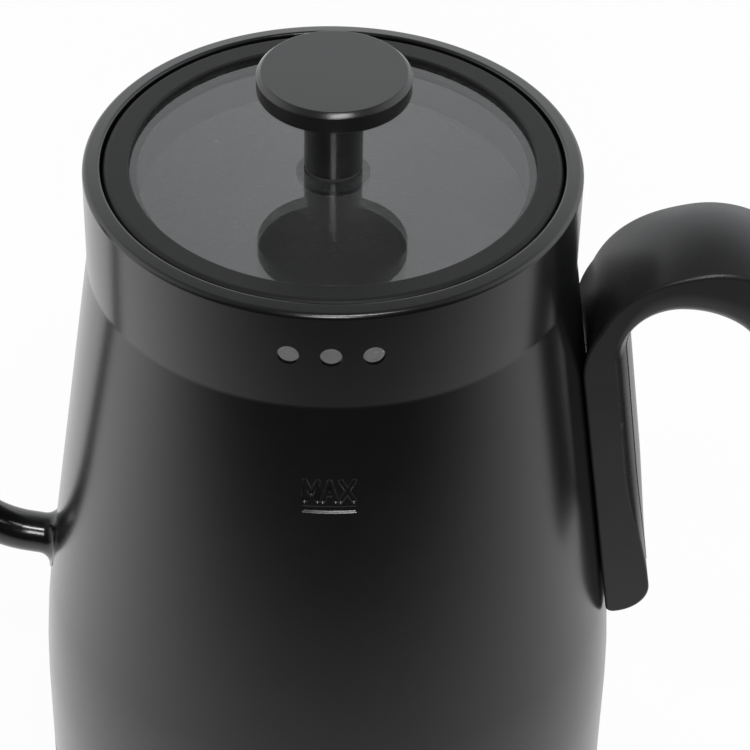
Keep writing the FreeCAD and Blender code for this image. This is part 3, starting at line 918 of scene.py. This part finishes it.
# Where the rounds end
outer_near_end = on_arch(outer_near_centre, arch_outer_near, math.pi + cone_angle)
outer_far_end = on_arch(outer_far_centre, arch_outer_far, grip_outer_lean)
inner_near_end = on_arch(inner_near_centre, arch_inner_near, math.pi + cone_angle)
inner_far_end = on_arch(inner_far_centre, arch_inner_far, grip_inner_lean)

# The leg's lower end, and the directions across the leg and the grip
leg_end = leg_point(handle_bottom, handle_gap)
leg_front = leg_point(handle_bottom, handle_gap + leg_thickness)
leg_down = on_side(math.sin(cone_angle), -math.cos(cone_angle))
leg_back = on_side(-math.cos(cone_angle), -math.sin(cone_angle))
grip_back = on_side(math.cos(grip_outer_lean), math.sin(grip_outer_lean))
grip_front = on_side(-math.cos(grip_inner_lean), -math.sin(grip_inner_lean))


def first_corner(name, place):
    """A new piece with a single corner, ready to be drawn out."""
    put_down()
    bpy.ops.mesh.primitive_plane_add(size=mm, location=place * mm)
    piece = named(name)
    bpy.ops.object.transform_apply(location=True, rotation=True, scale=True)
    bpy.ops.object.mode_set(mode="EDIT")
    bpy.ops.mesh.select_all(action="SELECT")
    bpy.ops.mesh.merge(type="CENTER")
    bpy.ops.mesh.select_mode(type="VERT")
    bpy.ops.mesh.select_all(action="SELECT")
    return piece


def draw_to(here, there, steps=1):
    """Draws the outline on in a straight line."""
    step = (there - here) / steps * mm
    for _ in range(steps):
        bpy.ops.mesh.extrude_vertices_move(TRANSFORM_OT_translate={"value": step})
    return there


def draw_round(here, centre, turn, steps):
    """Draws the outline on round a centre; a positive turn goes from up to away from the vessel."""
    bpy.ops.mesh.spin(steps=steps, angle=-turn, center=centre * mm, axis=sideways)
    return centre + Matrix.Rotation(turn, 3, "Y") @ (here - centre)


def draw_handle():
    """Draws the handle's outline from the leg's back round to its lower end, and widens it."""
    here = leg_end - leg_down * leg_back_round
    handle = first_corner("handle_moulding", here)
    here = draw_to(here, outer_near_end)
    here = draw_round(here, outer_near_centre, quarter + cone_angle, steps=40)
    here = draw_round(here, outer_far_centre, quarter - grip_outer_lean, steps=36)
    grip_outer = down_grip(here, grip_outer_lean, grip_bottom)
    grip_inner = down_grip(inner_far_end, grip_inner_lean, grip_bottom)
    outer_down = (grip_outer - here).normalized()
    inner_up = (inner_far_end - grip_inner).normalized()
    foot = on_side(-1, 0)
    for corner, arrive, leave in ((grip_outer, outer_down, foot), (grip_inner, foot, inner_up)):
        turn = arrive.angle(leave)
        reach = grip_end_round * math.tan(turn / 2)
        here = draw_to(here, corner - arrive * reach)
        centre = here + sideways.cross(arrive) * grip_end_round
        here = draw_round(here, centre, turn, steps=10)
    here = draw_to(here, inner_far_end, steps=16)
    here = draw_round(here, inner_far_centre, grip_inner_lean - quarter, steps=30)
    here = draw_round(here, inner_near_centre, -quarter - cone_angle, steps=30)
    end_round = leg_thickness - leg_back_round
    here = draw_to(here, leg_front - leg_down * end_round, steps=16)
    centre = here + sideways.cross(leg_down) * end_round
    here = draw_round(here, centre, quarter, steps=14)
    draw_round(here, here - leg_down * leg_back_round, quarter, steps=6)
    bpy.ops.mesh.select_all(action="SELECT")
    bpy.ops.mesh.remove_doubles(threshold=outline_doubled * mm)
    bpy.ops.mesh.edge_face_add()
    bpy.ops.mesh.select_all(action="SELECT")
    bpy.ops.transform.translate(value=(0, -handle_half_width * mm, 0))
    bpy.ops.mesh.extrude_region_move(
        TRANSFORM_OT_translate={"value": (0, 2 * handle_half_width * mm, 0)}
    )
    put_down()
    return handle


def way_out(point):
    """Which way is out at a corner on the handle's outer side, or nothing elsewhere."""
    flat = on_side(point.x, point.z)
    near = flat - outer_near_centre
    far = flat - outer_far_centre
    if near.x <= on_axis and flat.z > outer_near_end.z - on_level:
        if abs(near.length - arch_outer_near) < on_line:
            return near.normalized()
    if far.x >= -on_axis and flat.z > outer_far_end.z - on_level:
        if abs(far.length - arch_outer_far) < on_line:
            return far.normalized()
    if abs((flat - outer_far_end).dot(grip_back)) < on_line and flat.z > grip_straight_bottom:
        return grip_back
    if abs((flat - leg_end).dot(leg_back)) < on_line:
        return leg_back
    return None


def way_in(point):
    """Which way the finger gap lies at a corner on the inner side, or nothing elsewhere."""
    flat = on_side(point.x, point.z)
    near = inner_near_centre - flat
    far = inner_far_centre - flat
    if near.x >= -on_axis and flat.z > inner_near_end.z - on_level:
        if abs(near.length - arch_inner_near) < on_line:
            return near.normalized()
    if far.x <= on_axis and flat.z > inner_far_end.z - on_level:
        if abs(far.length - arch_inner_far) < on_line:
            return far.normalized()
    if grip_straight_bottom < flat.z < inner_far_end.z + on_level:
        if abs((flat - inner_far_end).dot(grip_front)) < on_line:
            return grip_front
    if handle_bottom < flat.z < inner_near_end.z + on_level:
        if abs((flat - leg_front).dot(leg_back)) < on_line:
            return -leg_back
    return None


def handle_depth(point):
    """How far a corner lies behind the outer side of the handle."""
    flat = on_side(point.x, point.z)
    if flat.x > outer_far_centre.x:
        if flat.z < outer_far_end.z:
            return (outer_far_end - flat).dot(grip_back)
        return arch_outer_far - (flat - outer_far_centre).length
    if flat.z < outer_near_end.z:
        return (leg_end - flat).dot(leg_back)
    return arch_outer_near - (flat - outer_near_centre).length


def on_outer_side(point):
    at_leg_corner = point.z < leg_end.z + 2 * leg_back_round
    return way_out(point) is not None or (
        at_leg_corner and handle_depth(point) < leg_back_round + on_line
    )


def on_inner_side(point):
    return way_in(point) is not None


def leg_or_grip_bottom(point):
    return handle_bottom if point.x < inner_near_centre.x else grip_bottom


def on_strip(point):
    within = abs(point.y) < strip_half_width + on_level
    return on_inner_side(point) and within and point.z > leg_or_grip_bottom(point) + strip_margin


def shaped(point):
    """Where a corner goes: crown and crest outside, rounding inside, saddle on the vessel."""
    place = point.copy()
    share = (point.y / handle_half_width) ** 2
    out = way_out(point)
    if out is not None:
        up = (point.z - grip_bottom - grip_end_round) / grip_fade
        drop = handle_crown * share * eased(min((out.x - crown_start) / crown_reach, up))
        place += out * (handle_crest * max(0.0, out.z) ** 2 - drop)
    inner = way_in(point)
    if inner is not None:
        leg = max(0.0, inner.x) ** 2
        if inner.x > 0:
            up = eased((point.z - handle_bottom - leg_thickness) / leg_fade)
        else:
            up = eased((point.z - grip_bottom - grip_end_round) / grip_fade)
        edge = max(0.0, abs(point.y) - strip_half_width) / (handle_half_width - strip_half_width)
        back = handle_inner_round * (1 - math.sqrt(max(0.0, 1 - edge**2)))
        back = back * (1 - leg_squareness * leg) + handle_inner_crown * share * leg
        place += inner * (leg_swell * leg - back) * up
    half_arch = arch_outer_near / 2
    if point.x < outer_near_centre.x and point.z < arch_top - half_arch:
        radius = cone_radius(min(point.z, collar_bottom))
        above = clamped((point.z - outer_near_end.z) / half_arch)
        hold = max(0.0, 1 - handle_depth(point) / leg_thickness) * (1 - above**2)
        place.x -= (radius - math.sqrt(radius**2 - point.y**2)) * hold
    return place


def weigh_side_edges(shape):
    """Marks the handle's side edges for rounding, less where the inner rounding takes over."""
    weight = shape.edges.layers.float.new("bevel_weight_edge")
    for edge in shape.edges:
        beside = [abs(corner.co.y) - handle_half_width * mm for corner in edge.verts]
        at_side = all(abs(gap) < on_ring * mm for gap in beside)
        if at_side and len(edge.link_faces) == 2 and edge.calc_face_angle(0) > sharp_side:
            middle = (edge.verts[0].co + edge.verts[1].co) / 2 / mm
            up = clamped((middle.z - leg_or_grip_bottom(middle) - leg_thickness) / edge_fade)
            edge[weight] = 1 - up if on_inner_side(middle) else 1.0


def make_handle():
    """The moulded handle, and the strip that lines it."""
    handle = draw_handle()

    def cut_lengthwise(test, place):
        choose(handle, "faces", test)
        bpy.ops.mesh.bisect(plane_co=(0, place * mm, 0), plane_no=sideways)

    work_on(handle)
    for share in outer_cuts:
        cut_lengthwise(on_outer_side, share * handle_half_width)
    for place in inner_cuts:
        for side in (-1, 1):
            cut_lengthwise(on_inner_side, side * place)
    choose(handle, "faces", on_strip)
    bpy.ops.mesh.duplicate()
    bpy.ops.mesh.separate(type="SELECTED")
    strip = [piece for piece in bpy.context.selected_objects if piece is not handle][0]
    put_down()
    strip.name = "handle_strip"
    for corner in strip.data.vertices:
        corner.co = shaped(corner.co / mm) * mm
    apply_modifier(strip, "SOLIDIFY", thickness=2 * strip_rise * mm, offset=0.0)
    close_up(strip)
    smooth(strip)
    hand_over(strip, "kettle", [strip_plastic], ["handle_inner_strip"])

    work_on(handle)
    bpy.ops.mesh.select_mode(type="EDGE")
    shape = bmesh.from_edit_mesh(handle.data)
    weigh_side_edges(shape)
    for corner in shape.verts:
        corner.co = shaped(corner.co / mm) * mm
    bmesh.update_edit_mesh(handle.data)
    put_down()
    apply_modifier(
        handle,
        "BEVEL",
        width=handle_outer_edge * mm,
        limit_method="WEIGHT",
        segments=6,
        use_clamp_overlap=False,
    )
    close_up(handle)
    smooth(handle, 40.0)
    hand_over(handle, "kettle", [handle_plastic], ["handle_shell"])


# Lid


def make_lid():
    ring = turned(
        "lid_ring",
        [
            (lid_radius, web_top),
            (lid_radius, lid_top, lid_edge_round),
            (ring_inner_radius, lid_top, ring_inner_round),
            (ring_inner_radius, glass_top),
            (glass_radius + glass_play, glass_top),
            (glass_radius + glass_play, web_top),
        ],
        closed=True,
        around=300,
    )
    smooth(ring)
    hand_over(ring, "lid", [lid_plastic], ["lid_upper_ring"])
    glass = turned(
        "glass_disc",
        [
            (glass_bore, glass_bottom),
            (glass_radius, glass_bottom, glass_edge),
            (glass_radius, glass_top, glass_edge),
            (glass_bore, glass_top),
        ],
        closed=True,
        around=240,
    )
    smooth(glass)
    hand_over(glass, "lid", [lid_glass_finish], ["lid_glass"])
    knob = turned(
        "turned_knob",
        [
            (knob_bore, knob_bore_top),
            (knob_bore, stem_bottom),
            (stem_radius, stem_bottom, stem_foot_round),
            (stem_radius, knob_bottom, stem_top_round),
            (knob_radius, knob_bottom, knob_under_round),
            (knob_radius, knob_top - knob_chamfer, knob_edge),
            (knob_radius - knob_chamfer, knob_top, knob_edge),
            (knob_radius * knob_face_share, knob_top),
            (0, knob_top),
        ],
        around=240,
    )
    work_on(knob)
    choose(knob, "edges", lambda point: ring_distance(point, knob_bore, knob_bore_top) < on_ring)
    bpy.ops.mesh.edge_face_add()
    close_up(knob)
    smooth(knob)
    hand_over(knob, "lid", [knob_black], ["lid_knob"])


make_body()
make_mouth_ring()
make_spout()
make_spout_weld()
make_handle()
make_lid()

# Solids whose shape is right get their finish
carried = {
    bare_steel: [
        "vessel_floor",
        "handle_bracket",
        "temperature_probe",
        "heating_element",
        "element_pins",
        "thermal_cutouts",
    ],
    screw_steel: [
        "handle_screws",
        "knob_cup_washer",
        "knob_screw",
        "floor_bosses",
        "control_screws",
        "probe_nut",
        "base_screws",
    ],
    plate_aluminium: ["heat_spreader"],
    lid_plastic: ["lid_lower_ring"],
    base_plastic: ["base_cover", "control_housing"],
    silicone: [
        "lid_seal",
        "glass_gasket",
        "knob_washer_upper",
        "knob_washer_lower",
        "probe_seal",
        "base_seal",
    ],
    lead_sleeve: ["probe_lead"],
    contact_brass: ["contact_pin", "contact_inner_ring", "contact_outer_ring"],
}
for finish, names in carried.items():
    for name in names:
        cad[name].data.materials.clear()
        cad[name].data.materials.append(finish)


# Studio, in metres


def make_floor():
    """A white table that keeps the shadow. In reflections it glows instead, with painted shade that
    darkens it towards the camera and to the right.
    """
    put_down()
    bpy.ops.mesh.primitive_plane_add(size=6.0, location=(0, 0, -0.0002))
    floor = named("table")
    finish, tree, shader, place = new_finish("pale_table")
    give(
        tree,
        shader,
        {"Base Color": (0.8, 0.8, 0.8, 1), "Roughness": 0.7, "Specular IOR Level": 0.0},
    )
    apart = add_node(tree, "SeparateXYZ", {"Vector": place}).outputs
    # Painted shade for reflections: the glow darkens towards the camera, standing for the kettle's
    # shadow in front, and towards the right, standing for a dimmer side of the room
    painted_front_shade = spread(tree, apart["Y"], (-0.30, 0.02), (0.04, 1.15), "SMOOTHSTEP")
    right = spread(tree, apart["X"], (-0.10, 0.25), (0.95, 0.62), "SMOOTHSTEP")
    both = worked_out(tree, "MULTIPLY", painted_front_shade, right)
    # Reflections see this glow with its painted shade; the camera sees the table evenly white, with
    # its real shadow
    glow_with_painted_shade = add_node(tree, "Emission", {"Strength": both}).outputs["Emission"]
    white = add_node(tree, "Emission", {"Strength": 1.04}).outputs["Emission"]
    seen = mixed(tree, 0.9, shader.outputs["BSDF"], white)
    from_camera = add_node(tree, "LightPath").outputs["Is Camera Ray"]
    show(tree, mixed(tree, from_camera, glow_with_painted_shade, seen))
    floor.data.materials.append(finish)


def make_world():
    """White surroundings behind and beside, dimmer overhead and on the camera's side."""
    world = bpy.data.worlds.new("studio")
    bpy.context.scene.world = world
    world.use_nodes = True
    tree = world.node_tree
    tree.nodes.clear()
    place = add_node(tree, "TexCoord").outputs["Generated"]
    apart = add_node(tree, "SeparateXYZ", {"Vector": place}).outputs
    front = spread(tree, apart["Y"], (-0.75, 0.15), (0.04, 1.15), "SMOOTHSTEP")
    above = spread(tree, apart["Z"], (0.46, 0.95), (1.0, 0.2), "SMOOTHSTEP")
    both = worked_out(tree, "MULTIPLY", front, above)
    room = add_node(tree, "Background", {"Color": (0.97, 0.985, 1.0, 1), "Strength": both})
    white = add_node(tree, "Background", {"Color": (1, 1, 1, 1)})
    from_camera = add_node(tree, "LightPath").outputs["Is Camera Ray"]
    blend = mixed(tree, from_camera, room.outputs["Background"], white.outputs["Background"])
    add_node(tree, "OutputWorld", {"Surface": blend})


def add_lamp(name, place, target, size, power):
    light = bpy.data.lights.new(name, "AREA")
    light.shape = "RECTANGLE"
    light.size, light.size_y = size
    light.energy = power
    lamp = bpy.data.objects.new(name, light)
    lamp.location = place
    lamp.rotation_euler = (Vector(target) - Vector(place)).to_track_quat("-Z", "Y").to_euler()
    bpy.context.scene.collection.objects.link(lamp)


def make_camera():
    """The photograph's viewpoint."""
    viewpoint = (0, -0.4368, 0.4737)
    yaw, pitch, roll = 0.0200713, 0.690801, 0.0244346
    half_field = math.radians(7.5)
    sensor = 36.0
    level = math.cos(pitch)
    forward = Vector((math.sin(yaw) * level, math.cos(yaw) * level, -math.sin(pitch)))
    right = Vector((math.cos(yaw), -math.sin(yaw), 0))
    up = right.cross(forward)
    rolled_right = right * math.cos(roll) + up * math.sin(roll)
    rolled_up = up * math.cos(roll) - right * math.sin(roll)
    camera = bpy.data.objects.new("camera", bpy.data.cameras.new("camera"))
    camera.data.sensor_width = sensor
    camera.data.lens = sensor / 2 / math.tan(half_field)
    camera.data.clip_start = 0.01
    axes = Matrix((rolled_right, rolled_up, -forward)).transposed().to_4x4()
    camera.matrix_world = Matrix.Translation(viewpoint) @ axes
    bpy.context.scene.collection.objects.link(camera)
    bpy.context.scene.camera = camera


make_floor()
make_world()
add_lamp(
    "ceiling_lamp", place=(0.15, -0.75, 1.25), target=(0, 0, 0.12), size=(0.5, 0.12), power=4.5
)
add_lamp("window", place=(0.0, -1.3, 0.95), target=(0, 0, 0.16), size=(0.40, 0.35), power=5.0)
make_camera()
bpy.context.scene.view_settings.view_transform = "Standard"

put_down()
